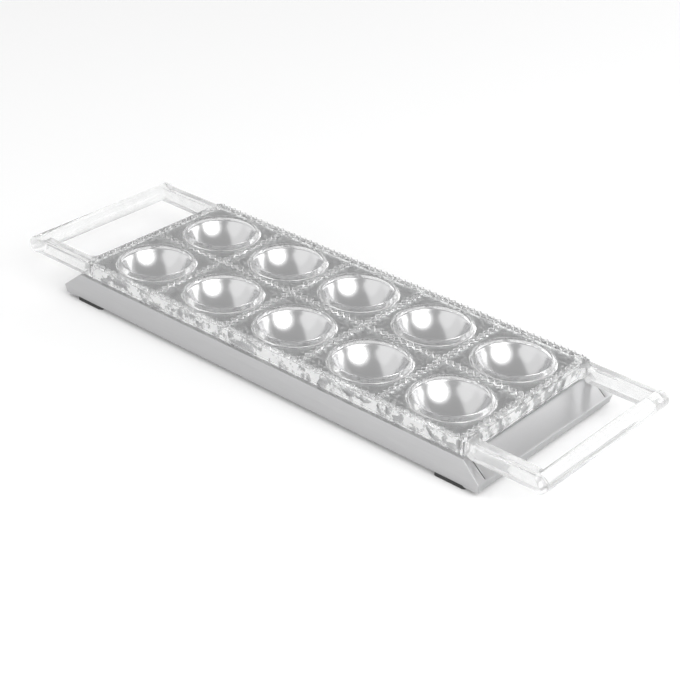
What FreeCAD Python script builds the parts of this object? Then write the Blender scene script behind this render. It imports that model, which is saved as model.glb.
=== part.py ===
"""Ravioli mould: a pressed aluminium tray with ten bowls, under a clear cutting frame with two handles.

Millimetres, +Z up. The origin is on the table, under the middle of the mould.
X runs along the five columns of bowls, from handle to handle, and Y across the two rows.
"""
import FreeCAD
import Part
import math
import os

V = FreeCAD.Vector

# Grid of bowls
CELL_PITCH = 48.0
COLUMNS = 5
ROWS = 2

# Heights of the tray, from the table up
FOOT_STAND = 2.0
LIP_HEIGHT = 4.4
FLANGE_HEIGHT = 8.8
PLATFORM_HEIGHT = 5.5

# Tray
SHEET = 1.2
LEDGE_END = 4.1
LEDGE_SIDE = 4.9
FLANGE_RUN_END = 10.5
FLANGE_RUN_SIDE = 1.4
PLATFORM_CORNER = 5.0
BEND = 1.2
FOLD = 1.4
RETURN_WIDTH = 8.0
RETURN_END_GAP = 9.0
BOWL_MOUTH = 18.6
BOWL_DEPTH = 11.5
BOWL_BEND = 0.9
TAB_WIDTH = 4.4
SLOT_WIDTH = 0.5

# Rubber feet under the tray's long sides
FOOT_LENGTH = 18.0
FOOT_WIDTH = 6.0
FOOT_FROM_END = 8.0
FOOT_CORNER = 2.0

# Cutting frame
PLATE = 1.3
SKIRT = 2.0
SKIRT_GAP = 0.4
SKIRT_DRAFT = 0.7
SIDE_CLEARANCE = 0.5
MARGIN_END = 2.6
MARGIN_SIDE = 1.4
COLLAR_FOOT = 21.0
COLLAR_CREST = 18.5
COLLAR_HOLE = 18.0
COLLAR_HEIGHT = 1.8
HOLE_DRAFT = 0.8

# Serrated ridges that part the cells
TEETH_PER_CELL = 12
TOOTH_SWING = 0.9
RIDGE_BASE = 0.5
RIDGE_CREST = 0.16
RIDGE_HEIGHT = 1.7
RIDGE_ROOT = 0.4

# Handles of the frame
BAR_RADIUS = 4.4
BAR_REACH = 39.7
BAR_DROP = 3.9
RAIL_WIDTH = 6.8
RAIL_INSET = 0.5
RAIL_ROUND = 1.2
HANDLE_CORNER = 4.0

# Places worked out from the sizes above
LIP_BOTTOM = FOOT_STAND
LIP_TOP = LIP_BOTTOM + LIP_HEIGHT
LEDGE_TOP = LIP_TOP + FLANGE_HEIGHT
PLATFORM_TOP = LEDGE_TOP + PLATFORM_HEIGHT
PLATE_TOP = PLATFORM_TOP + PLATE
GRID_HALF_X = COLUMNS * CELL_PITCH / 2
GRID_HALF_Y = ROWS * CELL_PITCH / 2
FRAME_HALF_X = GRID_HALF_X + MARGIN_END
FRAME_HALF_Y = GRID_HALF_Y + MARGIN_SIDE
SKIRT_BOTTOM = LEDGE_TOP + SKIRT_GAP
PLATFORM_HALF_X = FRAME_HALF_X - SKIRT - SIDE_CLEARANCE
PLATFORM_HALF_Y = FRAME_HALF_Y - SKIRT - SIDE_CLEARANCE
LEDGE_HALF_X = PLATFORM_HALF_X + LEDGE_END
LEDGE_HALF_Y = PLATFORM_HALF_Y + LEDGE_SIDE
LIP_HALF_X = LEDGE_HALF_X + FLANGE_RUN_END
LIP_HALF_Y = LEDGE_HALF_Y + FLANGE_RUN_SIDE
BOWL_SPHERE = (BOWL_MOUTH ** 2 + BOWL_DEPTH ** 2) / (2 * BOWL_DEPTH)
BAR_X = FRAME_HALF_X + BAR_REACH
BAR_Z = PLATE_TOP - BAR_DROP
RAIL_OUTER = FRAME_HALF_Y - RAIL_INSET
RAIL_INNER = RAIL_OUTER - RAIL_WIDTH
COLUMN_X = [(i - (COLUMNS - 1) / 2) * CELL_PITCH for i in range(COLUMNS)]
ROW_Y = [(j - (ROWS - 1) / 2) * CELL_PITCH for j in range(ROWS)]


def slab(half_x, half_y, bottom, top):
    """A block centred on the Z axis."""
    return Part.makeBox(2 * half_x, 2 * half_y, top - bottom, V(-half_x, -half_y, bottom))


def block(x0, x1, y0, y1, z0, z1):
    """A block between two corners."""
    return Part.makeBox(x1 - x0, y1 - y0, z1 - z0, V(x0, y0, z0))


def rectangle(half_x, half_y, z):
    corners = [V(-half_x, -half_y, z), V(half_x, -half_y, z), V(half_x, half_y, z), V(-half_x, half_y, z)]
    return Part.makePolygon(corners + corners[:1])


def solid_between(lower, upper):
    """A solid with flat sides between two level polygons that have as many corners."""
    low = [v.Point for v in lower.OrderedVertexes]
    high = [v.Point for v in upper.OrderedVertexes]
    faces = [Part.Face(lower), Part.Face(upper)]
    for k in range(len(low)):
        n = (k + 1) % len(low)
        faces.append(Part.Face(Part.makePolygon([low[k], low[n], high[n], high[k], low[k]])))
    solid = Part.Solid(Part.Shell(faces))
    if solid.Volume < 0:
        solid.reverse()
    return solid


def frustum(half_x0, half_y0, z0, half_x1, half_y1, z1):
    """A four-sided block whose walls lean, from its lower rectangle to its upper one."""
    return solid_between(rectangle(half_x0, half_y0, z0), rectangle(half_x1, half_y1, z1))


def edges_where(shape, test):
    return [e for e in shape.Edges if test(e)]


def is_level(edge, z):
    box = edge.BoundBox
    return abs(box.ZMin - z) < 0.01 and abs(box.ZMax - z) < 0.01


def is_upright(edge, z0, z1):
    box = edge.BoundBox
    return abs(box.ZMin - z0) < 0.01 and abs(box.ZMax - z1) < 0.01


def is_end_fold(edge, z):
    """A level edge across one end of the tray, outside the platform's foot, where the sheet is folded."""
    return is_level(edge, z) and abs(edge.CenterOfMass.x) > PLATFORM_HALF_X + 1


def is_side_fold(edge, z):
    """The same along one side."""
    return is_level(edge, z) and abs(edge.CenterOfMass.y) > PLATFORM_HALF_Y + 1


def rounded_platform(half_x, half_y, bottom, top, corner, bend):
    """The raised middle of the tray, with round corners and a round upper edge."""
    shape = slab(half_x, half_y, bottom, top)
    shape = shape.makeFillet(corner, edges_where(shape, lambda e: is_upright(e, bottom, top)))
    return shape.makeFillet(bend, edges_where(shape, lambda e: is_level(e, top)))


def tray_envelope(inset, lift):
    """The tray's outside, or its hollow when inset is the sheet and lift brings the floor through."""
    lean_end = FLANGE_RUN_END / FLANGE_HEIGHT
    lean_side = FLANGE_RUN_SIDE / FLANGE_HEIGHT
    ledge = LEDGE_TOP - inset
    ledge_x = LEDGE_HALF_X + inset * lean_end - inset * math.hypot(1, lean_end)
    ledge_y = LEDGE_HALF_Y + inset * lean_side - inset * math.hypot(1, lean_side)
    lip_x = LIP_HALF_X - inset
    lip_y = LIP_HALF_Y - inset
    lip_z = ledge - (lip_x - ledge_x) / lean_end
    skirt_y = ledge_y + (ledge - lip_z) * lean_side
    flanges = frustum(lip_x, skirt_y, lip_z, ledge_x, ledge_y, ledge)
    lip = frustum(lip_x, lip_y, LIP_BOTTOM - lift, lip_x, skirt_y, lip_z)
    raised = rounded_platform(PLATFORM_HALF_X - inset, PLATFORM_HALF_Y - inset, lip_z, PLATFORM_TOP - inset,
                              PLATFORM_CORNER - inset, max(BEND - inset, 0.2))
    body = flanges.fuse([lip, raised]).removeSplitter()
    folds = edges_where(body, lambda e: is_end_fold(e, ledge) or is_side_fold(e, ledge) or is_end_fold(e, lip_z))
    return body.makeFillet(max(FOLD - inset, 0.2), folds)


def turned(lines):
    """A solid turned about the Z axis from the edges of its half outline."""
    face = Part.Face(Part.Wire(Part.__sortEdges__([line.toShape() for line in lines])))
    return face.revolve(V(0, 0, 0), V(0, 0, 1), 360)


def bowl_body():
    """The round body of metal that hangs under the platform, as wide as the bowl and its sheet."""
    radius = BOWL_SPHERE + SHEET
    centre = PLATFORM_TOP - BOWL_DEPTH + BOWL_SPHERE
    top = PLATFORM_TOP - SHEET / 2
    rim = math.sqrt(radius ** 2 - (centre - top) ** 2)
    low = V(0, 0, centre - radius)
    half = math.asin(rim / radius) / 2
    middle = V(radius * math.sin(half), 0, centre - radius * math.cos(half))
    edge = V(rim, 0, top)
    axis = V(0, 0, top)
    return turned([Part.Arc(low, middle, edge), Part.LineSegment(edge, axis), Part.LineSegment(axis, low)])


def bowl_hollow():
    """The hollow of one bowl, with the round bend at its mouth, up to 1 mm above the platform."""
    centre = PLATFORM_TOP - BOWL_DEPTH + BOWL_SPHERE
    bend_z = PLATFORM_TOP - BOWL_BEND
    reach = BOWL_SPHERE + BOWL_BEND
    bend_x = math.sqrt(reach ** 2 - (centre - bend_z) ** 2)
    lean = math.asin(bend_x / reach)
    low = V(0, 0, centre - BOWL_SPHERE)
    middle = V(BOWL_SPHERE * math.sin(lean / 2), 0, centre - BOWL_SPHERE * math.cos(lean / 2))
    meet = V(BOWL_SPHERE * math.sin(lean), 0, centre - BOWL_SPHERE * math.cos(lean))
    bulge = V(bend_x - BOWL_BEND * math.sin(lean / 2), 0, bend_z + BOWL_BEND * math.cos(lean / 2))
    mouth = V(bend_x, 0, PLATFORM_TOP)
    corner = V(bend_x, 0, PLATFORM_TOP + 1)
    axis = V(0, 0, PLATFORM_TOP + 1)
    return turned([Part.Arc(low, middle, meet), Part.Arc(meet, bulge, mouth), Part.LineSegment(mouth, corner),
                   Part.LineSegment(corner, axis), Part.LineSegment(axis, low)])


def base_tray():
    """One pressed sheet: platform with bowls, ledge, four flanges with lips, corner tabs, side returns."""
    body = tray_envelope(0, 0).cut(tray_envelope(SHEET, 1))
    returns = []
    for side in (-1, 1):
        y_out = side * (LIP_HALF_Y - SHEET / 2)
        y_in = side * (LIP_HALF_Y - RETURN_WIDTH)
        half = LIP_HALF_X - RETURN_END_GAP
        returns.append(block(-half, half, min(y_out, y_in), max(y_out, y_in), LIP_BOTTOM, LIP_BOTTOM + SHEET))
    centres = [V(x, y, 0) for x in COLUMN_X for y in ROW_Y]
    body = body.fuse(returns + [bowl_body().translated(c) for c in centres])
    return body.cut([bowl_hollow().translated(c) for c in centres] + corner_slots()).removeSplitter()


def corner_slots():
    """Narrow slots that part each end flange from the tabs at its two corners."""
    slots = []
    y = LEDGE_HALF_Y - TAB_WIDTH
    low = LIP_TOP + SLOT_WIDTH / 2
    high = LEDGE_TOP - 2 * SHEET
    for end in (-1, 1):
        for side in (-1, 1):
            x0, x1 = sorted((end * (LEDGE_HALF_X - SHEET), end * (LIP_HALF_X + SHEET)))
            mid = side * y
            slot = block(x0, x1, mid - SLOT_WIDTH / 2, mid + SLOT_WIDTH / 2, low, high)
            for z in (low, high):
                slot = slot.fuse(Part.makeCylinder(SLOT_WIDTH / 2, x1 - x0, V(x0, mid, z), V(1, 0, 0)))
            slots.append(slot)
    return slots


def foot(end, side):
    """A rubber pad stuck under the return of a long side."""
    x = end * (LIP_HALF_X - FOOT_FROM_END - FOOT_LENGTH / 2)
    y = side * (LIP_HALF_Y - SHEET - FOOT_WIDTH / 2)
    pad = block(x - FOOT_LENGTH / 2, x + FOOT_LENGTH / 2, y - FOOT_WIDTH / 2, y + FOOT_WIDTH / 2, 0, FOOT_STAND)
    return pad.makeFillet(FOOT_CORNER, edges_where(pad, lambda e: is_upright(e, 0, FOOT_STAND)))


def zigzag(length, half_width, z):
    """Outline of a zigzag band along X, from 0 to length, that crosses its middle line at both ends."""
    half_tooth = CELL_PITCH / TEETH_PER_CELL / 2
    peaks = round(length / half_tooth)
    middle = [(0.0, 0.0)]
    middle += [((k + 0.5) * half_tooth, TOOTH_SWING * (-1) ** k) for k in range(peaks)]
    middle += [(length, 0.0)]
    slope = TOOTH_SWING / (half_tooth / 2)
    shift = half_width * math.hypot(1, slope)
    left = [V(x, y + shift, z) for x, y in middle]
    right = [V(x, y - shift, z) for x, y in reversed(middle)]
    return Part.makePolygon(left + right + left[:1])


def ridge(length):
    """One serrated ridge along X, with a narrow crest."""
    root = PLATE_TOP - RIDGE_ROOT
    return solid_between(zigzag(length, RIDGE_BASE, root), zigzag(length, RIDGE_CREST, PLATE_TOP + RIDGE_HEIGHT))


def ridges():
    """The ridges on the sides of the cells, all along and all across."""
    solids = []
    for row in range(ROWS + 1):
        long_ridge = ridge(2 * GRID_HALF_X)
        long_ridge.translate(V(-GRID_HALF_X, -GRID_HALF_Y + row * CELL_PITCH, 0))
        solids.append(long_ridge)
    for column in range(COLUMNS + 1):
        cross_ridge = ridge(2 * GRID_HALF_Y)
        cross_ridge.rotate(V(0, 0, 0), V(0, 0, 1), 90)
        cross_ridge.translate(V(-GRID_HALF_X + column * CELL_PITCH, -GRID_HALF_Y, 0))
        solids.append(cross_ridge)
    return solids


def collar():
    """The raised ring round a hole, and under it the plate that it grows from."""
    profile = [V(COLLAR_HOLE - 1, 0, PLATE_TOP - PLATE / 2), V(COLLAR_FOOT, 0, PLATE_TOP - PLATE / 2),
               V(COLLAR_FOOT, 0, PLATE_TOP), V(COLLAR_CREST, 0, PLATE_TOP + COLLAR_HEIGHT),
               V(COLLAR_HOLE - 1, 0, PLATE_TOP + COLLAR_HEIGHT)]
    face = Part.Face(Part.makePolygon(profile + profile[:1]))
    return face.revolve(V(0, 0, 0), V(0, 0, 1), 360)


def hole():
    """The hole through a collar and the plate, a little wider below."""
    top = PLATE_TOP + COLLAR_HEIGHT
    return Part.makeCone(COLLAR_HOLE + HOLE_DRAFT, COLLAR_HOLE, top - PLATFORM_TOP, V(0, 0, PLATFORM_TOP))


def handle(end):
    """Two side rails and a round cross bar, moulded on one end of the frame."""
    rail_bottom = BAR_Z - BAR_RADIUS
    start = FRAME_HALF_X - SKIRT
    x0, x1 = sorted((end * start, end * BAR_X))
    plan = block(x0, x1, -RAIL_OUTER, RAIL_OUTER, rail_bottom, PLATE_TOP)
    plan = plan.makeFillet(RAIL_ROUND, edges_where(plan, lambda e: e.BoundBox.YLength < 0.01
                                                   and e.BoundBox.XLength > 1))
    inner_x = sorted((end * (FRAME_HALF_X + SKIRT_DRAFT), end * BAR_X))
    window = block(inner_x[0], inner_x[1], -RAIL_INNER, RAIL_INNER, rail_bottom - 1, PLATE_TOP + 1)
    window = window.makeFillet(HANDLE_CORNER, edges_where(window, lambda e: e.BoundBox.ZLength > 1))
    bar = Part.makeCylinder(BAR_RADIUS, 2 * RAIL_OUTER, V(end * BAR_X, -RAIL_OUTER, BAR_Z), V(0, 1, 0))
    return plan.cut([window, tray_shoulder(end)]).fuse(bar)


def tray_shoulder(end):
    """The room that the rails leave for the tray's ledge and the top of its end flange."""
    low = LIP_TOP
    run = (SKIRT_BOTTOM - low) * FLANGE_RUN_END / FLANGE_HEIGHT
    near = FRAME_HALF_X - 2 * SKIRT
    outline = [(near, low), (LEDGE_HALF_X + run, low), (LEDGE_HALF_X, SKIRT_BOTTOM), (near, SKIRT_BOTTOM)]
    points = [V(end * x, -FRAME_HALF_Y, z) for x, z in outline]
    return Part.Face(Part.makePolygon(points + points[:1])).extrude(V(0, 2 * FRAME_HALF_Y, 0))


def cutting_frame():
    """One clear moulding: plate, skirt, ridges, collars round the holes, and a handle at each end."""
    spread = SKIRT_DRAFT
    body = frustum(FRAME_HALF_X + spread, FRAME_HALF_Y + spread, SKIRT_BOTTOM, FRAME_HALF_X, FRAME_HALF_Y, PLATE_TOP)
    inner_x = FRAME_HALF_X - SKIRT
    inner_y = FRAME_HALF_Y - SKIRT
    centres = [V(x, y, 0) for x in COLUMN_X for y in ROW_Y]
    raised = [collar().translated(c) for c in centres]
    body = body.fuse([handle(-1), handle(1)] + ridges() + raised)
    hollow = slab(inner_x, inner_y, SKIRT_BOTTOM - 5, PLATFORM_TOP)
    hollow = hollow.makeFillet(PLATFORM_CORNER, edges_where(hollow, lambda e: e.BoundBox.ZLength > 1))
    return body.cut([hollow] + [hole().translated(c) for c in centres]).removeSplitter()


def save(name, shape):
    solids = shape.Solids
    print(name, "solids", len(solids), "valid", shape.isValid(), "volume", round(shape.Volume, 1))
    kept = solids[0] if len(solids) == 1 else shape
    kept.exportStep(os.path.join("parts", name + ".step"))


def main():
    os.makedirs("parts", exist_ok=True)
    save("base_tray", base_tray())
    save("cutting_frame", cutting_frame())
    ends = {-1: "left", 1: "right"}
    sides = {-1: "front", 1: "back"}
    for end, end_name in ends.items():
        for side, side_name in sides.items():
            save(f"foot_{side_name}_{end_name}", foot(end, side))


main()
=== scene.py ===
"""Ravioli mould: a pressed aluminium tray with ten bowls, under a clear cutting frame with two handles."""

import math

import bmesh
import bpy
from mathutils import Matrix, Vector


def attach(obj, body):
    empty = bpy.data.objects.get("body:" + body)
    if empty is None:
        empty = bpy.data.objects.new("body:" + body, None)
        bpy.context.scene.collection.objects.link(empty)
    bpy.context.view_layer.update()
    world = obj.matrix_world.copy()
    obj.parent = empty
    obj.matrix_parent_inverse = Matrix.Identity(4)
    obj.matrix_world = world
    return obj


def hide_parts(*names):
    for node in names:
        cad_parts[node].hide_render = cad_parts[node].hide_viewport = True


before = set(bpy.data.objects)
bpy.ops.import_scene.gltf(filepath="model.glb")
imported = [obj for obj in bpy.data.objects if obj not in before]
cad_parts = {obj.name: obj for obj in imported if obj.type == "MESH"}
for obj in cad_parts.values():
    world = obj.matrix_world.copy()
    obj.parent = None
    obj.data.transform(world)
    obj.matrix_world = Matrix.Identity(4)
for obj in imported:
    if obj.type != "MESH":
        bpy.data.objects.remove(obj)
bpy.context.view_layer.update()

MM = 0.001
UP = Vector((0, 0, 1))

# Sizes in millimetres, as in the part's source
PITCH = 48.0
LIP_BOTTOM = 2.0
LIP_TOP = 6.4
LEDGE_TOP = 15.2
PLATFORM_TOP = 20.7
PLATE_TOP = 22.0
PLATE_UNDER = 20.76
SHEET = 1.2
PLATFORM_X, PLATFORM_Y = 120.1, 46.9
LEDGE_X, LEDGE_Y = 124.2, 51.8
LIP_X, LIP_Y = 134.7, 53.2
LIP_TUCK = 0.9
PLATFORM_CORNER = 5.0
PLATFORM_BEND = 1.2
FOLD = 0.8
RETURN_WIDTH = 8.0
RETURN_END_GAP = 9.0
BOWL_RADIUS = 20.79
BOWL_CENTRE = 29.99
BOWL_BEND = 0.9
SLOT_Y = 47.4
SLOT_WIDTH = 0.5

FRAME_X, FRAME_Y = 122.6, 49.4
SKIRT = 2.0
SKIRT_BOTTOM = 15.6
SKIRT_DRAFT = 0.7
COLLAR_FOOT = 21.0
COLLAR_CREST = 18.5
COLLAR_HOLE = 18.0
HOLE_FOOT = 18.8
COLLAR_HEIGHT = 1.8
TOOTH = 4.0
TOOTH_SWING = 0.9
RIDGE_BASE = 0.67
RIDGE_CREST = 0.22
RIDGE_HEIGHT = 1.7
RIDGE_ROOT = 0.4
BAR_RADIUS = 4.4
BAR_X = 162.3
BAR_Z = 18.1
RAIL_OUTER = 48.9
RAIL_INNER = 42.1
RAIL_BOTTOM = 13.7
RAIL_ROUND = 1.2
HANDLE_CORNER = 4.0

# Level faces of solids that are joined keep this far apart, so that none coincide
LEVEL_GAP = 0.02

# Finer sizes, which show only close up
MOUTH_FLAT = 0.25
WALL_FOOT_ROUND = 0.5
RETURN_BEND = 1.1
SLOT_LOW_GAP = 0.7
SLOT_HIGH_GAP = 1.0
SHEET_EDGE = 0.12
COLLAR_FLAT = 0.25
COLLAR_EDGE_WIDTH = 0.1
COLLAR_EDGE_DROP = 0.06
HOLE_EDGE = 0.15
SKIRT_CORNER = 0.8
RAIL_INNER_ROUND = 0.5
BAR_END_ROUND = 0.5

# Steps in the rounds that are turned
RING_STEPS = 96
BAR_STEPS = 64
BOWL_STEPS = 22
BOWL_BEND_STEPS = 6

# An edge longer than LONG along an axis runs along it. Places nearer than NEAR count as one level, and
# points nearer than WELD become one. Joined solids overlap by OVERLAP, and cutters reach OVERSHOOT past.
LONG = 1.0
NEAR = 0.01
WELD = 0.0005
OVERLAP = 1.0
OVERSHOOT = 2.0

# The floor
FLOOR_RADIUS = 6000.0
FLOOR_GLOW = 0.055

# The camera's turn, tilt and roll in degrees, and its place along its own axes in pitches of the bowls
CAMERA_TURN = 39.8424
CAMERA_TILT = 29.6991
CAMERA_ROLL = 2.0771
CAMERA_PLACE = Vector((0.1332, -0.3200, 17.5834))
CAMERA_AIM_HEIGHT = 22.04
LENS = 90.436
SENSOR = 36.0

# The middles of the bowls
COLUMNS = [(i - 2) * PITCH for i in range(5)]
ROWS = [-PITCH / 2, PITCH / 2]
CENTRES = [Vector((x, y, 0)) for x in COLUMNS for y in ROWS]


# Modelling helpers

def move(bm, verts, x=0.0, y=0.0, z=0.0):
    bmesh.ops.translate(bm, verts=verts, vec=(x, y, z))


def stretch(bm, verts, x=1.0, y=1.0, z=1.0):
    bmesh.ops.scale(bm, verts=verts, vec=(x, y, z))


def verts_of(result):
    return [g for g in result["geom"] if isinstance(g, bmesh.types.BMVert)]


def edges_of(result):
    return [g for g in result["geom"] if isinstance(g, bmesh.types.BMEdge)]


def pull_rim(bm, edges, x=1.0, y=1.0, z=0.0):
    """Extrude a rim of edges, stretch it about the Z axis and move it up or down. Returns the new rim."""
    result = bmesh.ops.extrude_edge_only(bm, edges=edges)
    verts = verts_of(result)
    stretch(bm, verts, x, y)
    move(bm, verts, z=z)
    return [e for e in edges_of(result) if e.is_boundary]


def round_edges(bm, edges, offset, segments):
    return bmesh.ops.bevel(bm, geom=list(edges), offset=offset, offset_type="OFFSET", segments=segments,
                           profile=0.5, affect="EDGES", material=-1, clamp_overlap=True)


def middle_of(edge):
    return (edge.verts[0].co + edge.verts[1].co) / 2


def length_along(edge, axis):
    return abs(edge.verts[0].co[axis] - edge.verts[1].co[axis])


def block(x0, x1, y0, y1, z0, z1):
    bm = bmesh.new()
    bmesh.ops.create_cube(bm, size=1.0)
    stretch(bm, bm.verts[:], x1 - x0, y1 - y0, z1 - z0)
    move(bm, bm.verts[:], (x0 + x1) / 2, (y0 + y1) / 2, (z0 + z1) / 2)
    return bm


def turn_full(bm):
    """Turn an outline in the XZ plane a full round about the Z axis."""
    bmesh.ops.spin(bm, geom=bm.verts[:] + bm.edges[:], cent=(0, 0, 0), axis=(0, 0, 1), angle=2 * math.pi,
                   steps=RING_STEPS, use_merge=True)
    bmesh.ops.remove_doubles(bm, verts=bm.verts[:], dist=WELD)


def arc(bm, vert, centre, angle, steps):
    """Sweep one vertex about a level axis along Y, as a chain of edges. Returns its last vertex."""
    result = bmesh.ops.spin(bm, geom=[vert], cent=centre, axis=(0, 1, 0), angle=angle, steps=steps)
    return [g for g in result["geom_last"] if isinstance(g, bmesh.types.BMVert)][0]


def line_to(bm, vert, x, z):
    """Draw a straight edge in the XZ plane from a vertex. Returns the new vertex."""
    result = bmesh.ops.extrude_vert_indiv(bm, verts=[vert])
    new = result["verts"][0]
    move(bm, [new], x - new.co.x, 0, z - new.co.z)
    return new


def add_copies(bm, one, centres):
    """Copy a mesh to each centre, and add all its copies to another mesh. Frees the first."""
    verts = one.verts[:]
    source = verts + one.edges[:] + one.faces[:]
    for centre in centres[1:]:
        copy = bmesh.ops.duplicate(one, geom=source)
        move(one, verts_of(copy), *centre)
    move(one, verts, *centres[0])
    scratch = bpy.data.meshes.new("copies")
    one.to_mesh(scratch)
    one.free()
    bm.from_mesh(scratch)
    bpy.data.meshes.remove(scratch)


def cut_across(bm, faces, place, direction):
    """Cut faces along a plane. Returns the faces that come of it."""
    parts = dict.fromkeys(part for face in faces for part in [face, *face.edges, *face.verts])
    cut = bmesh.ops.bisect_plane(bm, geom=list(parts), dist=0.0001, plane_co=place, plane_no=direction)
    return list(dict.fromkeys(g for g in cut["geom"] if isinstance(g, bmesh.types.BMFace)))


def fill_level(bm, height):
    """Fill the open edges that lie at a height with triangles."""
    rims = [e for e in bm.edges if e.is_boundary and abs(middle_of(e).z - height) < NEAR]
    bmesh.ops.triangle_fill(bm, edges=rims, use_beauty=True, normal=UP)


def make_object(name, bm):
    """Turn a mesh in millimetres into an object in metres, and free the mesh."""
    stretch(bm, bm.verts[:], MM, MM, MM)
    mesh = bpy.data.meshes.new(name)
    bm.to_mesh(mesh)
    bm.free()
    piece = bpy.data.objects.new(name, mesh)
    bpy.context.collection.objects.link(piece)
    return piece


def apply_modifiers(piece):
    graph = bpy.context.evaluated_depsgraph_get()
    mesh = bpy.data.meshes.new_from_object(piece.evaluated_get(graph))
    piece.modifiers.clear()
    old = piece.data
    piece.data = mesh
    bpy.data.meshes.remove(old)


def combine(piece, others, operation):
    """Join other solids to a piece, or cut them out of it."""
    tools = bpy.data.collections.new("tools")
    for other in others:
        bpy.context.collection.objects.unlink(other)
        tools.objects.link(other)
    bpy.context.scene.collection.children.link(tools)
    modifier = piece.modifiers.new("combine", "BOOLEAN")
    modifier.operation = operation
    modifier.solver = "EXACT"
    modifier.operand_type = "COLLECTION"
    modifier.collection = tools
    apply_modifiers(piece)
    for other in others:
        bpy.data.objects.remove(other)
    bpy.data.collections.remove(tools)


def shade(piece, degrees):
    for polygon in piece.data.polygons:
        polygon.use_smooth = True
    piece.data.set_sharp_from_angle(angle=math.radians(degrees))


# Tray

def bowl_lean():
    """How far the bowl's wall leans out where its mouth bend begins, and how far out the bend ends."""
    reach = BOWL_RADIUS + BOWL_BEND
    bend_x = math.sqrt(reach ** 2 - (BOWL_CENTRE - PLATFORM_TOP + BOWL_BEND) ** 2)
    return math.asin(bend_x / reach), bend_x


def add_bowls(bm):
    """The ten bowls, each turned from its outline with a bend at the mouth and a narrow flat round it."""
    lean, bend_x = bowl_lean()
    one = bmesh.new()
    low = one.verts.new((0, 0, BOWL_CENTRE - BOWL_RADIUS))
    side = arc(one, low, (0, 0, BOWL_CENTRE), -lean, BOWL_STEPS)
    mouth = arc(one, side, (bend_x, 0, PLATFORM_TOP - BOWL_BEND), lean, BOWL_BEND_STEPS)
    line_to(one, mouth, bend_x + MOUTH_FLAT, PLATFORM_TOP)
    turn_full(one)
    add_copies(bm, one, CENTRES)


def fold_sheet(bm):
    """Platform wall, ledge, flanges and lips, drawn down and out from the edge of the platform."""
    bmesh.ops.create_grid(bm, x_segments=1, y_segments=1, size=1.0)
    stretch(bm, bm.verts[:], PLATFORM_X, PLATFORM_Y)
    move(bm, bm.verts[:], z=PLATFORM_TOP)
    rim = pull_rim(bm, bm.edges[:], z=LEDGE_TOP - PLATFORM_TOP)
    rim = pull_rim(bm, rim, LEDGE_X / PLATFORM_X, LEDGE_Y / PLATFORM_Y)
    rim = pull_rim(bm, rim, LIP_X / LEDGE_X, LIP_Y / LEDGE_Y, LIP_TOP - LEDGE_TOP)
    pull_rim(bm, rim, 1 - LIP_TUCK / LIP_X, 1 - LIP_TUCK / 2 / LIP_Y, LIP_BOTTOM - LIP_TOP)


def round_platform(bm):
    """Round the platform's corners, then its upper edge and the foot of its wall."""
    corners = [e for e in bm.edges if length_along(e, 2) > LONG and abs(middle_of(e).x) < PLATFORM_X + NEAR]
    round_edges(bm, corners, PLATFORM_CORNER, 10)
    upper = [e for e in bm.edges if middle_of(e).z > PLATFORM_TOP - NEAR and length_along(e, 2) < NEAR]
    round_edges(bm, upper, PLATFORM_BEND, 5)
    foot = [e for e in bm.edges if abs(middle_of(e).z - LEDGE_TOP) < NEAR and length_along(e, 2) < NEAR
            and abs(e.verts[0].co.x) < PLATFORM_X + NEAR and abs(e.verts[1].co.x) < PLATFORM_X + NEAR
            and abs(e.verts[0].co.y) < PLATFORM_Y + NEAR and abs(e.verts[1].co.y) < PLATFORM_Y + NEAR]
    round_edges(bm, foot, WALL_FOOT_ROUND, 3)


def add_returns(bm):
    """Turn the sheet's lower edge in under each long side, short of the corners."""
    reach = LIP_X - RETURN_END_GAP
    for place in (-reach, reach):
        walls = [f for f in bm.faces if abs(f.normal.y) > 0.99 and f.calc_center_median().z < LIP_TOP
                 and abs(f.calc_center_median().x) < LIP_X - 0.5]
        cut_across(bm, walls, (place, 0, 0), (1, 0, 0))
    low = [e for e in bm.edges if e.is_boundary and abs(middle_of(e).z - LIP_BOTTOM) < NEAR
           and abs(middle_of(e).x) < 1 and length_along(e, 0) > LONG]
    result = bmesh.ops.extrude_edge_only(bm, edges=low)
    for vert in verts_of(result):
        move(bm, [vert], y=-math.copysign(RETURN_WIDTH, vert.co.y))
    round_edges(bm, low, RETURN_BEND, 4)


def round_folds(bm):
    """Give the ledge's outer edge, the corners and the end lips the soft radius of a pressed fold."""
    folds = []
    for edge in bm.edges:
        a = edge.verts[0].co
        b = edge.verts[1].co
        if min(a.z, b.z) > LEDGE_TOP + NEAR or edge.is_boundary:
            continue
        outer_a = abs(a.x) > LEDGE_X - NEAR or abs(a.y) > LEDGE_Y - NEAR
        outer_b = abs(b.x) > LEDGE_X - NEAR or abs(b.y) > LEDGE_Y - NEAR
        side_lip = abs(a.z - LIP_TOP) < NEAR and abs(b.z - LIP_TOP) < NEAR and length_along(edge, 0) > LONG
        if outer_a and outer_b and not side_lip:
            folds.append(edge)
    round_edges(bm, folds, FOLD, 4)


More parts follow.
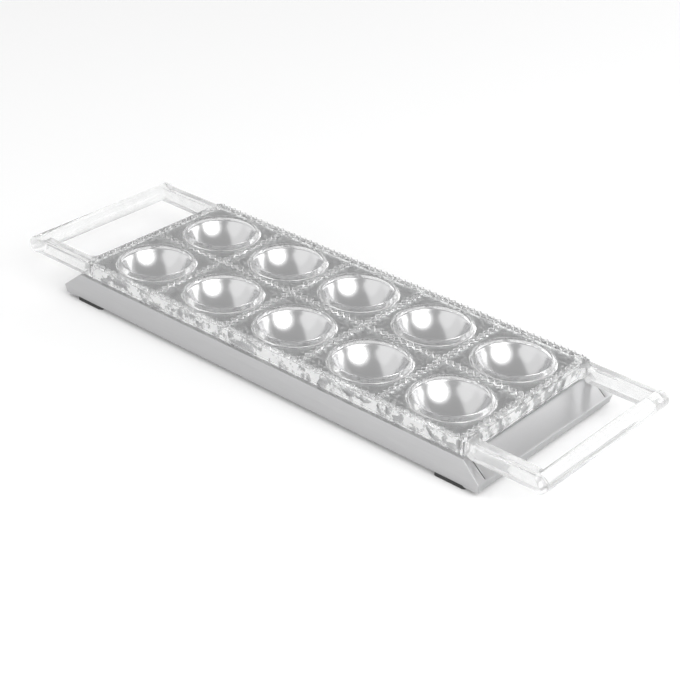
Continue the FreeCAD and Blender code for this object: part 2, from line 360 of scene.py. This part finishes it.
def cut_slots(bm):
    """Open the narrow slots that part each end flange from its two corner tabs."""
    # The end flanges are the large faces that lean out along X
    flanges = [f for f in bm.faces if 0.5 < abs(f.normal.x) < 0.8 and f.calc_area() > 200]
    for side in (-1, 1):
        for edge in (-SLOT_WIDTH / 2, SLOT_WIDTH / 2):
            flanges = cut_across(bm, flanges, (0, side * SLOT_Y + edge, 0), (0, 1, 0))
    low = LIP_TOP + SLOT_LOW_GAP
    high = LEDGE_TOP - SLOT_HIGH_GAP
    strips = [f for f in flanges if abs(abs(f.calc_center_median().y) - SLOT_Y) < SLOT_WIDTH / 4]
    for height in (low, high):
        strips = cut_across(bm, strips, (0, 0, height), (0, 0, 1))
    slots = [f for f in strips if low < f.calc_center_median().z < high]
    bmesh.ops.delete(bm, geom=slots, context="FACES")


def fill_platform(bm, top):
    """Put the flat of the platform back, round the mouths of the bowls."""
    bmesh.ops.inset_region(bm, faces=[top], thickness=MOUTH_FLAT, use_even_offset=True)
    bmesh.ops.delete(bm, geom=[top], context="FACES_ONLY")
    add_bowls(bm)
    fill_level(bm, PLATFORM_TOP)


def pressed_tray():
    bm = bmesh.new()
    fold_sheet(bm)
    round_platform(bm)
    add_returns(bm)
    round_folds(bm)
    cut_slots(bm)
    bm.normal_update()
    top = max(bm.faces, key=lambda f: f.calc_area())
    fill_platform(bm, top)
    bmesh.ops.remove_doubles(bm, verts=bm.verts[:], dist=WELD)
    bmesh.ops.recalc_face_normals(bm, faces=bm.faces[:])
    level = [f for f in bm.faces if f.calc_center_median().z > PLATFORM_TOP - NEAR]
    if max(level, key=lambda f: f.calc_area()).normal.z < 0:
        bmesh.ops.reverse_faces(bm, faces=bm.faces[:])
    tray = make_object("pressed_tray", bm)
    wall = tray.modifiers.new("sheet", "SOLIDIFY")
    wall.thickness = SHEET * MM
    wall.offset = -1
    wall.use_even_offset = True
    edge = tray.modifiers.new("cut_edge", "BEVEL")
    edge.width = SHEET_EDGE * MM
    edge.segments = 2
    edge.limit_method = "ANGLE"
    edge.angle_limit = math.radians(50)
    apply_modifiers(tray)
    shade(tray, 35)
    return tray


# Cutting frame

def add_collars(bm):
    """The ten raised collars with their holes, each turned from its outline."""
    one = bmesh.new()
    crest_z = PLATE_TOP + COLLAR_HEIGHT
    start = one.verts.new((COLLAR_FOOT + COLLAR_FLAT, 0, PLATE_TOP))
    foot = line_to(one, start, COLLAR_FOOT, PLATE_TOP)
    outer = line_to(one, foot, COLLAR_CREST + COLLAR_EDGE_WIDTH, crest_z - COLLAR_EDGE_DROP)
    crest = line_to(one, outer, COLLAR_CREST, crest_z)
    inner = line_to(one, crest, COLLAR_HOLE + HOLE_EDGE, crest_z)
    hole = line_to(one, inner, COLLAR_HOLE, crest_z - HOLE_EDGE)
    line_to(one, hole, HOLE_FOOT, PLATE_UNDER)
    turn_full(one)
    add_copies(bm, one, CENTRES)


def drop_spikes(bm, low_x, low_y):
    """Join the old corner points that rounding leaves at the skirt's foot to the middle of their rounds."""
    foot = [v for v in bm.verts if abs(v.co.z - SKIRT_BOTTOM) < NEAR]
    spikes = [v for v in foot if abs(v.co.x) > low_x - NEAR and abs(v.co.y) > low_y - NEAR]
    rounds = [v for v in foot if v not in spikes]
    for spike in spikes:
        middle = min(rounds, key=lambda v: (v.co - spike.co).length)
        bmesh.ops.pointmerge(bm, verts=[spike, middle], merge_co=middle.co)
        rounds = [v for v in rounds if v.is_valid]


def plate_and_skirt():
    """The plate with its collars, and the skirt under its edge, as one closed shell."""
    bm = bmesh.new()
    bmesh.ops.create_grid(bm, x_segments=1, y_segments=1, size=1.0)
    stretch(bm, bm.verts[:], FRAME_X, FRAME_Y)
    move(bm, bm.verts[:], z=PLATE_TOP)
    top = bm.faces[:][0]
    low_x = FRAME_X + SKIRT_DRAFT
    low_y = FRAME_Y + SKIRT_DRAFT
    in_x = FRAME_X - SKIRT
    in_y = FRAME_Y - SKIRT
    rim = pull_rim(bm, bm.edges[:], low_x / FRAME_X, low_y / FRAME_Y, SKIRT_BOTTOM - PLATE_TOP)
    rim = pull_rim(bm, rim, in_x / low_x, in_y / low_y)
    pull_rim(bm, rim, z=PLATE_UNDER - SKIRT_BOTTOM)
    bmesh.ops.delete(bm, geom=[top], context="FACES_ONLY")
    inner = [e for e in bm.edges if length_along(e, 2) > LONG and abs(middle_of(e).x) < in_x + NEAR]
    round_edges(bm, inner, PLATFORM_CORNER, 8)
    outer = [e for e in bm.edges if length_along(e, 2) > LONG and abs(middle_of(e).x) > FRAME_X
             and abs(middle_of(e).y) > FRAME_Y]
    round_edges(bm, outer, SKIRT_CORNER, 4)
    drop_spikes(bm, low_x, low_y)
    add_collars(bm)
    fill_level(bm, PLATE_TOP)
    fill_level(bm, PLATE_UNDER)
    bmesh.ops.remove_doubles(bm, verts=bm.verts[:], dist=WELD)
    bmesh.ops.recalc_face_normals(bm, faces=bm.faces[:])
    return make_object("cutting_plate", bm)


def ridge(length):
    """One serrated ridge along X, narrow at its crest, sunk a little into the plate."""
    bm = bmesh.new()
    steps = round(length / (TOOTH / 2))
    bmesh.ops.create_grid(bm, x_segments=steps, y_segments=1, size=1.0)
    stretch(bm, bm.verts[:], length / 2, RIDGE_BASE)
    root = bm.verts[:]
    grown = bmesh.ops.extrude_face_region(bm, geom=bm.faces[:])
    crest = verts_of(grown)
    stretch(bm, crest, 1, RIDGE_CREST / RIDGE_BASE)
    move(bm, crest, z=PLATE_TOP + RIDGE_HEIGHT)
    move(bm, root, z=PLATE_TOP - RIDGE_ROOT)
    for vert in bm.verts:
        along = vert.co.x + length / 2
        vert.co.y += TOOTH_SWING * (1 if round(along / (TOOTH / 2)) % 2 else -1)
    bmesh.ops.recalc_face_normals(bm, faces=bm.faces[:])
    return bm


def ridges():
    """The ridges on the sides of the cells, along the mould and across it."""
    made = []
    for row in range(3):
        bm = ridge(5 * PITCH)
        move(bm, bm.verts[:], y=(row - 1) * PITCH)
        made.append(make_object("long_ridge", bm))
    for column in range(6):
        bm = ridge(2 * PITCH)
        bmesh.ops.rotate(bm, verts=bm.verts[:], cent=(0, 0, 0), matrix=Matrix.Rotation(math.pi / 2, 3, "Z"))
        move(bm, bm.verts[:], x=(column - 2.5) * PITCH, z=-LEVEL_GAP)
        made.append(make_object("cross_ridge", bm))
    return made


def rail(end, side):
    """One side rail of a handle, with rounded long edges. The tray's shoulder is cut out of it afterwards.
    """
    x0, x1 = sorted((end * (FRAME_X - SKIRT / 2), end * BAR_X))
    y0, y1 = sorted((side * RAIL_INNER, side * RAIL_OUTER))
    bm = block(x0, x1, y0, y1, RAIL_BOTTOM + LEVEL_GAP, PLATE_TOP - LEVEL_GAP)
    outer_edges = [e for e in bm.edges if length_along(e, 0) > LONG
                   and abs(middle_of(e).y) > RAIL_OUTER - NEAR]
    round_edges(bm, outer_edges, RAIL_ROUND, 5)
    inner_edges = [e for e in bm.edges if length_along(e, 0) > LONG
                   and abs(middle_of(e).y) < RAIL_INNER + NEAR
                   and abs(middle_of(e).z - (RAIL_BOTTOM + PLATE_TOP) / 2) > LONG]
    round_edges(bm, inner_edges, RAIL_INNER_ROUND, 3)
    return make_object("rail", bm)


def handle_web(end):
    """The strip along the end wall that the rails' inner corners are rounded into."""
    x0, x1 = sorted((end * (FRAME_X - SKIRT / 2), end * (FRAME_X + SKIRT_DRAFT + HANDLE_CORNER)))
    bm = block(x0, x1, -RAIL_INNER - OVERLAP, RAIL_INNER + OVERLAP,
               SKIRT_BOTTOM + 2 * LEVEL_GAP, PLATE_TOP - 2 * LEVEL_GAP)
    near_x, far_x = sorted((end * (FRAME_X + SKIRT_DRAFT), end * (FRAME_X + 5 * HANDLE_CORNER)))
    cutter = block(near_x, far_x, -RAIL_INNER, RAIL_INNER, RAIL_BOTTOM - OVERSHOOT, PLATE_TOP + OVERSHOOT)
    upright = [e for e in cutter.edges if length_along(e, 2) > LONG
               and abs(middle_of(e).x) < FRAME_X + HANDLE_CORNER]
    round_edges(cutter, upright, HANDLE_CORNER, 8)
    web = make_object("web", bm)
    combine(web, [make_object("window", cutter)], "DIFFERENCE")
    return web


def shoulder(end):
    """The room that the rails leave for the tray's ledge and the top of its end flange."""
    x0, x1 = sorted((end * (FRAME_X - 2 * SKIRT), end * LEDGE_X))
    bm = block(x0, x1, -FRAME_Y - OVERLAP, FRAME_Y + OVERLAP, LIP_TOP, SKIRT_BOTTOM + LEVEL_GAP)
    lean = (LIP_X - LEDGE_X) / (LEDGE_TOP - LIP_TOP)
    low = [v for v in bm.verts if v.co.z < LIP_TOP + NEAR and abs(v.co.x) > FRAME_X]
    move(bm, low, x=end * lean * (SKIRT_BOTTOM - LIP_TOP))
    return make_object("shoulder", bm)


def cross_bar(end):
    """The round bar between the rails, with softened ends."""
    bm = bmesh.new()
    bmesh.ops.create_cone(bm, cap_ends=True, segments=BAR_STEPS, radius1=BAR_RADIUS, radius2=BAR_RADIUS,
                          depth=2 * (RAIL_OUTER + LEVEL_GAP))
    bmesh.ops.rotate(bm, verts=bm.verts[:], cent=(0, 0, 0), matrix=Matrix.Rotation(math.pi / 2, 3, "X"))
    move(bm, bm.verts[:], end * BAR_X, 0, BAR_Z)
    rims = [e for e in bm.edges if length_along(e, 1) < NEAR]
    round_edges(bm, rims, BAR_END_ROUND, 3)
    return make_object("cross_bar", bm)


def clear_frame():
    body = plate_and_skirt()
    for end in (-1, 1):
        rails = [rail(end, side) for side in (-1, 1)]
        base = rails[0]
        combine(base, [rails[1], handle_web(end)], "UNION")
        combine(base, [shoulder(end)], "DIFFERENCE")
        combine(body, [base, cross_bar(end)], "UNION")
    combine(body, ridges(), "UNION")
    body.name = "clear_frame"
    shade(body, 32)
    return body


# Materials

def new_material(name):
    material = bpy.data.materials.new(name)
    material.use_nodes = True
    nodes = material.node_tree.nodes
    return material, nodes, material.node_tree.links, nodes["Principled BSDF"]


def aluminium(name, dark, pale, smooth, rough, relief):
    """Anodised sheet with a fine even grain drawn along the mould."""
    material, nodes, links, shader = new_material(name)
    place = nodes.new("ShaderNodeTexCoord")
    grain_scale = nodes.new("ShaderNodeMapping")
    grain_scale.inputs["Scale"].default_value = (60, 2600, 2600)
    grain = nodes.new("ShaderNodeTexNoise")
    grain.inputs["Scale"].default_value = 1.0
    grain.inputs["Detail"].default_value = 4.0
    tone = nodes.new("ShaderNodeMapRange")
    tone.inputs["To Min"].default_value = smooth
    tone.inputs["To Max"].default_value = rough
    colour = nodes.new("ShaderNodeMixRGB")
    colour.inputs["Color1"].default_value = (dark, dark, dark + 0.005, 1)
    colour.inputs["Color2"].default_value = (pale, pale, pale + 0.005, 1)
    bump = nodes.new("ShaderNodeBump")
    bump.inputs["Strength"].default_value = relief
    bump.inputs["Distance"].default_value = 0.0001
    shader.inputs["Metallic"].default_value = 1.0
    links.new(place.outputs["Object"], grain_scale.inputs["Vector"])
    links.new(grain_scale.outputs["Vector"], grain.inputs["Vector"])
    links.new(grain.outputs["Fac"], tone.inputs["Value"])
    links.new(grain.outputs["Fac"], colour.inputs["Fac"])
    links.new(grain.outputs["Fac"], bump.inputs["Height"])
    links.new(tone.outputs["Result"], shader.inputs["Roughness"])
    links.new(colour.outputs["Color"], shader.inputs["Base Color"])
    links.new(bump.outputs["Normal"], shader.inputs["Normal"])
    return material


def acrylic(name, rough=0.03, size=90.0, spread=(0.36, 0.56), painted_light_share=(0.0, 0.0),
            white=0.97, shade=0.93):
    """Moulded acrylic with a mottled share of white diffuse, painted light for the clear plastic's glints.
    Lamps shine through it and leave a pale shadow.

    The mottle has about size patches to the metre. Over its spread, the painted light grows from its least
    share to its most. white is the tone of the painted light, and shade that of the light let through.
    """
    material, nodes, links, shader = new_material(name)
    place = nodes.new("ShaderNodeTexCoord")
    mottle = nodes.new("ShaderNodeTexNoise")
    mottle.inputs["Scale"].default_value = size
    mottle.inputs["Detail"].default_value = 4.0
    mottle.inputs["Roughness"].default_value = 0.6
    share = nodes.new("ShaderNodeMapRange")
    share.inputs["From Min"].default_value = spread[0]
    share.inputs["From Max"].default_value = spread[1]
    share.inputs["To Min"].default_value = painted_light_share[0]
    share.inputs["To Max"].default_value = painted_light_share[1]
    bump = nodes.new("ShaderNodeBump")
    bump.inputs["Strength"].default_value = 0.06
    bump.inputs["Distance"].default_value = 0.036 / size
    shader.inputs["Base Color"].default_value = (0.945, 0.95, 0.95, 1)
    shader.inputs["Roughness"].default_value = rough
    shader.inputs["IOR"].default_value = 1.49
    shader.inputs["Transmission Weight"].default_value = 1.0
    # The white diffuse is painted light, standing in for the glints and glow of the clear plastic.
    painted_light = nodes.new("ShaderNodeBsdfDiffuse")
    painted_light.inputs["Color"].default_value = (white, white, white, 1)
    body = nodes.new("ShaderNodeMixShader")
    through = nodes.new("ShaderNodeBsdfTransparent")
    through.inputs["Color"].default_value = (shade, shade, shade, 1)
    path = nodes.new("ShaderNodeLightPath")
    deep = nodes.new("ShaderNodeMath")
    deep.operation = "GREATER_THAN"
    deep.inputs[1].default_value = 2.5
    lets = nodes.new("ShaderNodeMath")
    lets.operation = "MAXIMUM"
    mix = nodes.new("ShaderNodeMixShader")
    links.new(place.outputs["Object"], mottle.inputs["Vector"])
    links.new(mottle.outputs["Fac"], share.inputs["Value"])
    links.new(mottle.outputs["Fac"], bump.inputs["Height"])
    links.new(bump.outputs["Normal"], shader.inputs["Normal"])
    links.new(share.outputs["Result"], body.inputs[0])
    links.new(shader.outputs["BSDF"], body.inputs[1])
    links.new(painted_light.outputs["BSDF"], body.inputs[2])
    links.new(path.outputs["Glossy Depth"], deep.inputs[0])
    links.new(path.outputs["Is Shadow Ray"], lets.inputs[0])
    links.new(deep.outputs["Value"], lets.inputs[1])
    links.new(lets.outputs["Value"], mix.inputs[0])
    links.new(body.outputs["Shader"], mix.inputs[1])
    links.new(through.outputs["BSDF"], mix.inputs[2])
    links.new(mix.outputs["Shader"], nodes["Material Output"].inputs["Surface"])
    return material


def black_rubber():
    material, nodes, links, shader = new_material("black_rubber")
    place = nodes.new("ShaderNodeTexCoord")
    dust = nodes.new("ShaderNodeTexNoise")
    dust.inputs["Scale"].default_value = 900.0
    tone = nodes.new("ShaderNodeMixRGB")
    tone.inputs["Color1"].default_value = (0.028, 0.028, 0.028, 1)
    tone.inputs["Color2"].default_value = (0.045, 0.045, 0.045, 1)
    shader.inputs["Roughness"].default_value = 0.75
    links.new(place.outputs["Object"], dust.inputs["Vector"])
    links.new(dust.outputs["Fac"], tone.inputs["Fac"])
    links.new(tone.outputs["Color"], shader.inputs["Base Color"])
    return material


def pale_floor():
    """White paper that eye, mirror and glass see a little brighter than it lights the object."""
    material, nodes, links, shader = new_material("pale_floor")
    shader.inputs["Base Color"].default_value = (0.9, 0.9, 0.9, 1)
    shader.inputs["Roughness"].default_value = 0.9
    shader.inputs["Specular IOR Level"].default_value = 0.1
    shader.inputs["Emission Color"].default_value = (1, 1, 1, 1)
    path = nodes.new("ShaderNodeLightPath")
    seen = nodes.new("ShaderNodeMath")
    seen.operation = "MAXIMUM"
    mirrored = nodes.new("ShaderNodeMath")
    mirrored.operation = "MAXIMUM"
    glow = nodes.new("ShaderNodeMath")
    glow.operation = "MULTIPLY"
    glow.inputs[1].default_value = FLOOR_GLOW
    links.new(path.outputs["Is Camera Ray"], seen.inputs[0])
    links.new(path.outputs["Is Transmission Ray"], seen.inputs[1])
    links.new(seen.outputs["Value"], mirrored.inputs[0])
    links.new(path.outputs["Is Glossy Ray"], mirrored.inputs[1])
    links.new(mirrored.outputs["Value"], glow.inputs[0])
    links.new(glow.outputs["Value"], shader.inputs["Emission Strength"])
    return material


def paint(piece, finishes):
    """Give a piece its materials, each where the middle of a face, in millimetres, passes its test."""
    piece.data.materials.clear()
    for index, (material, belongs) in enumerate(finishes):
        piece.data.materials.append(material)
        for polygon in piece.data.polygons:
            if belongs(polygon.center / MM, polygon.normal):
                polygon.material_index = index


def everywhere(spot, normal):
    return True


def in_bowl(spot, normal):
    return any((spot - centre).xy.length < BOWL_RADIUS - 1.0 for centre in CENTRES)


def on_hole_wall(spot, normal):
    """The upright walls of the ten holes in the plate."""
    near = min((spot - centre).xy.length for centre in CENTRES)
    return near < HOLE_FOOT + 0.1 and abs(normal.z) < 0.5


def on_skirt_inside(spot, normal):
    """The skirt's upright inner wall, which faces the platform."""
    along = abs(abs(spot.x) - (FRAME_X - SKIRT)) < 0.3 and normal.x * spot.x < 0 and abs(normal.x) > 0.9
    across = abs(abs(spot.y) - (FRAME_Y - SKIRT)) < 0.3 and normal.y * spot.y < 0 and abs(normal.y) > 0.9
    return spot.z < PLATE_UNDER and (along or across)


def on_handle(spot, normal):
    """The rails and the bar beyond each end wall."""
    return abs(spot.x) > FRAME_X + SKIRT_DRAFT + 0.2


def on_plate_top(spot, normal):
    return normal.z > 0.99 and abs(spot.z - PLATE_TOP) < 0.05 and abs(spot.x) < FRAME_X


def on_ridge(spot, normal):
    """The teeth, which stand on the plate clear of the collars."""
    near = min((spot - centre).xy.length for centre in CENTRES)
    return spot.z > PLATE_TOP + 0.1 and near > COLLAR_FOOT


# Studio

def add_floor():
    bm = bmesh.new()
    bmesh.ops.create_circle(bm, cap_ends=True, segments=RING_STEPS, radius=FLOOR_RADIUS)
    floor = make_object("floor", bm)
    floor.data.materials.append(pale_floor())


def add_softbox(name, shape, azimuth, elevation, distance, width, height, power):
    """A lamp that faces the object. Angles are in degrees, lengths in metres, and power in watts."""
    lamp = bpy.data.lights.new(name, "AREA")
    lamp.shape = shape
    lamp.size = width
    lamp.size_y = height
    lamp.energy = power
    az = math.radians(azimuth)
    el = math.radians(elevation)
    out = Vector((math.cos(az) * math.cos(el), math.sin(az) * math.cos(el), math.sin(el)))
    box = bpy.data.objects.new(name, lamp)
    box.location = out * distance
    box.rotation_euler = out.to_track_quat("Z", "Y").to_euler()
    bpy.context.collection.objects.link(box)


def add_sky():
    """A studio that is pale at the level of the eye and dark overhead."""
    world = bpy.data.worlds.new("studio")
    world.use_nodes = True
    nodes = world.node_tree.nodes
    links = world.node_tree.links
    place = nodes.new("ShaderNodeTexCoord")
    split = nodes.new("ShaderNodeSeparateXYZ")
    ramp = nodes.new("ShaderNodeValToRGB")
    ramp.color_ramp.elements[0].position = 0.1
    ramp.color_ramp.elements[0].color = (0.95, 0.95, 0.95, 1)
    ramp.color_ramp.elements[1].position = 0.4
    ramp.color_ramp.elements[1].color = (0.52, 0.52, 0.52, 1)
    links.new(place.outputs["Generated"], split.inputs["Vector"])
    links.new(split.outputs["Z"], ramp.inputs["Fac"])
    links.new(ramp.outputs["Color"], nodes["Background"].inputs["Color"])
    bpy.context.scene.world = world


def add_camera():
    """The photograph's view: 30 degrees down, from the front and right of the long axis."""
    turn = (Matrix.Rotation(math.radians(CAMERA_TURN), 4, "Z")
            @ Matrix.Rotation(math.radians(90 - CAMERA_TILT), 4, "X")
            @ Matrix.Rotation(math.radians(CAMERA_ROLL), 4, "Z"))
    place = turn @ CAMERA_PLACE * PITCH * MM + UP * CAMERA_AIM_HEIGHT * MM
    lens = bpy.data.cameras.new("camera")
    lens.lens = LENS
    lens.sensor_width = SENSOR
    lens.clip_end = 50.0
    camera = bpy.data.objects.new("camera", lens)
    camera.matrix_world = Matrix.Translation(place) @ turn
    bpy.context.collection.objects.link(camera)
    bpy.context.scene.camera = camera


def add_lamps():
    """A round key light that the bowls mirror, a glow about it, and panels for flanges and far side."""
    add_softbox("key_right", "ELLIPSE", -2, 43, 1.6, 1.34, 1.3, 11.2)
    add_softbox("key_glow", "ELLIPSE", -3, 44, 1.62, 1.96, 1.86, 4.6)
    add_softbox("panel_left", "RECTANGLE", -132, 35, 1.8, 3.9, 2.16, 12.8)
    add_softbox("panel_front", "RECTANGLE", -101, 34, 1.8, 1.5, 2.0, 1.3)
    add_softbox("strip_front", "RECTANGLE", -64, 11, 1.5, 1.4, 0.5, 4.5)
    add_softbox("backdrop_right", "RECTANGLE", 72, 13, 1.8, 2.3, 0.95, 9.0)
    add_softbox("backdrop_glow", "RECTANGLE", 76, 21, 1.84, 2.2, 1.1, 1.7)


def set_up_render():
    """Plain colours, and enough bounces for light to find its way through the clear frame."""
    scene = bpy.context.scene
    scene.view_settings.view_transform = "Standard"
    scene.cycles.max_bounces = 24
    scene.cycles.glossy_bounces = 12
    scene.cycles.transmission_bounces = 16
    scene.cycles.transparent_max_bounces = 16


# The whole

def build_tray():
    tray = pressed_tray()
    paint(tray, [
        (aluminium("satin_sheet", 0.475, 0.525, 0.28, 0.36, 0.05), everywhere),
        (aluminium("polished_bowls", 0.64, 0.66, 0.18, 0.21, 0.01), in_bowl),
    ])
    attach(tray, "root")
    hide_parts("base_tray")


def build_frame():
    # The skirt's inner wall gets painted reflection: a white diffuse share for the light that bounces about
    # inside the clear skirt.
    skirt_reflection_paint = acrylic("skirt_painted_reflection", rough=0.06, size=200.0, spread=(0.44, 0.54), painted_light_share=(0.0, 1.0))
    # The plate's top gets painted caustics: white specks for the light that the teeth focus onto the plate
    # and the metal under it.
    plate_caustic_paint = acrylic("plate_painted_caustics", size=640.0, spread=(0.5, 0.66), painted_light_share=(0.0, 0.34))
    clear = clear_frame()
    paint(clear, [
        (acrylic("clear_acrylic"), everywhere),
        (skirt_reflection_paint, on_skirt_inside),
        # The hole walls get a painted highlight: a white diffuse share for the bright arcs that the collars
        # focus.
        (acrylic("hole_walls_painted_highlight", rough=0.1, size=600.0, painted_light_share=(0.05, 0.22)), on_hole_wall),
        # The handles get painted shade: a grey diffuse share for the grey that the clear bars take by
        # refraction.
        (acrylic("handles_painted_shade", size=60.0, painted_light_share=(0.14, 0.26), white=0.8, shade=0.76), on_handle),
        (plate_caustic_paint, on_plate_top),
        # The teeth get painted glints: a white diffuse share for the sparkle of the light through them.
        (acrylic("teeth_painted_glints", size=400.0, painted_light_share=(0.0, 0.12)), on_ridge),
    ])
    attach(clear, "root")
    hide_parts("cutting_frame")


def paint_feet():
    rubber = black_rubber()
    for name in ("foot_front_left", "foot_back_left", "foot_front_right", "foot_back_right"):
        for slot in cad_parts[name].material_slots:
            slot.material = rubber


def main():
    build_tray()
    build_frame()
    paint_feet()
    add_floor()
    add_lamps()
    add_sky()
    add_camera()
    set_up_render()


main()
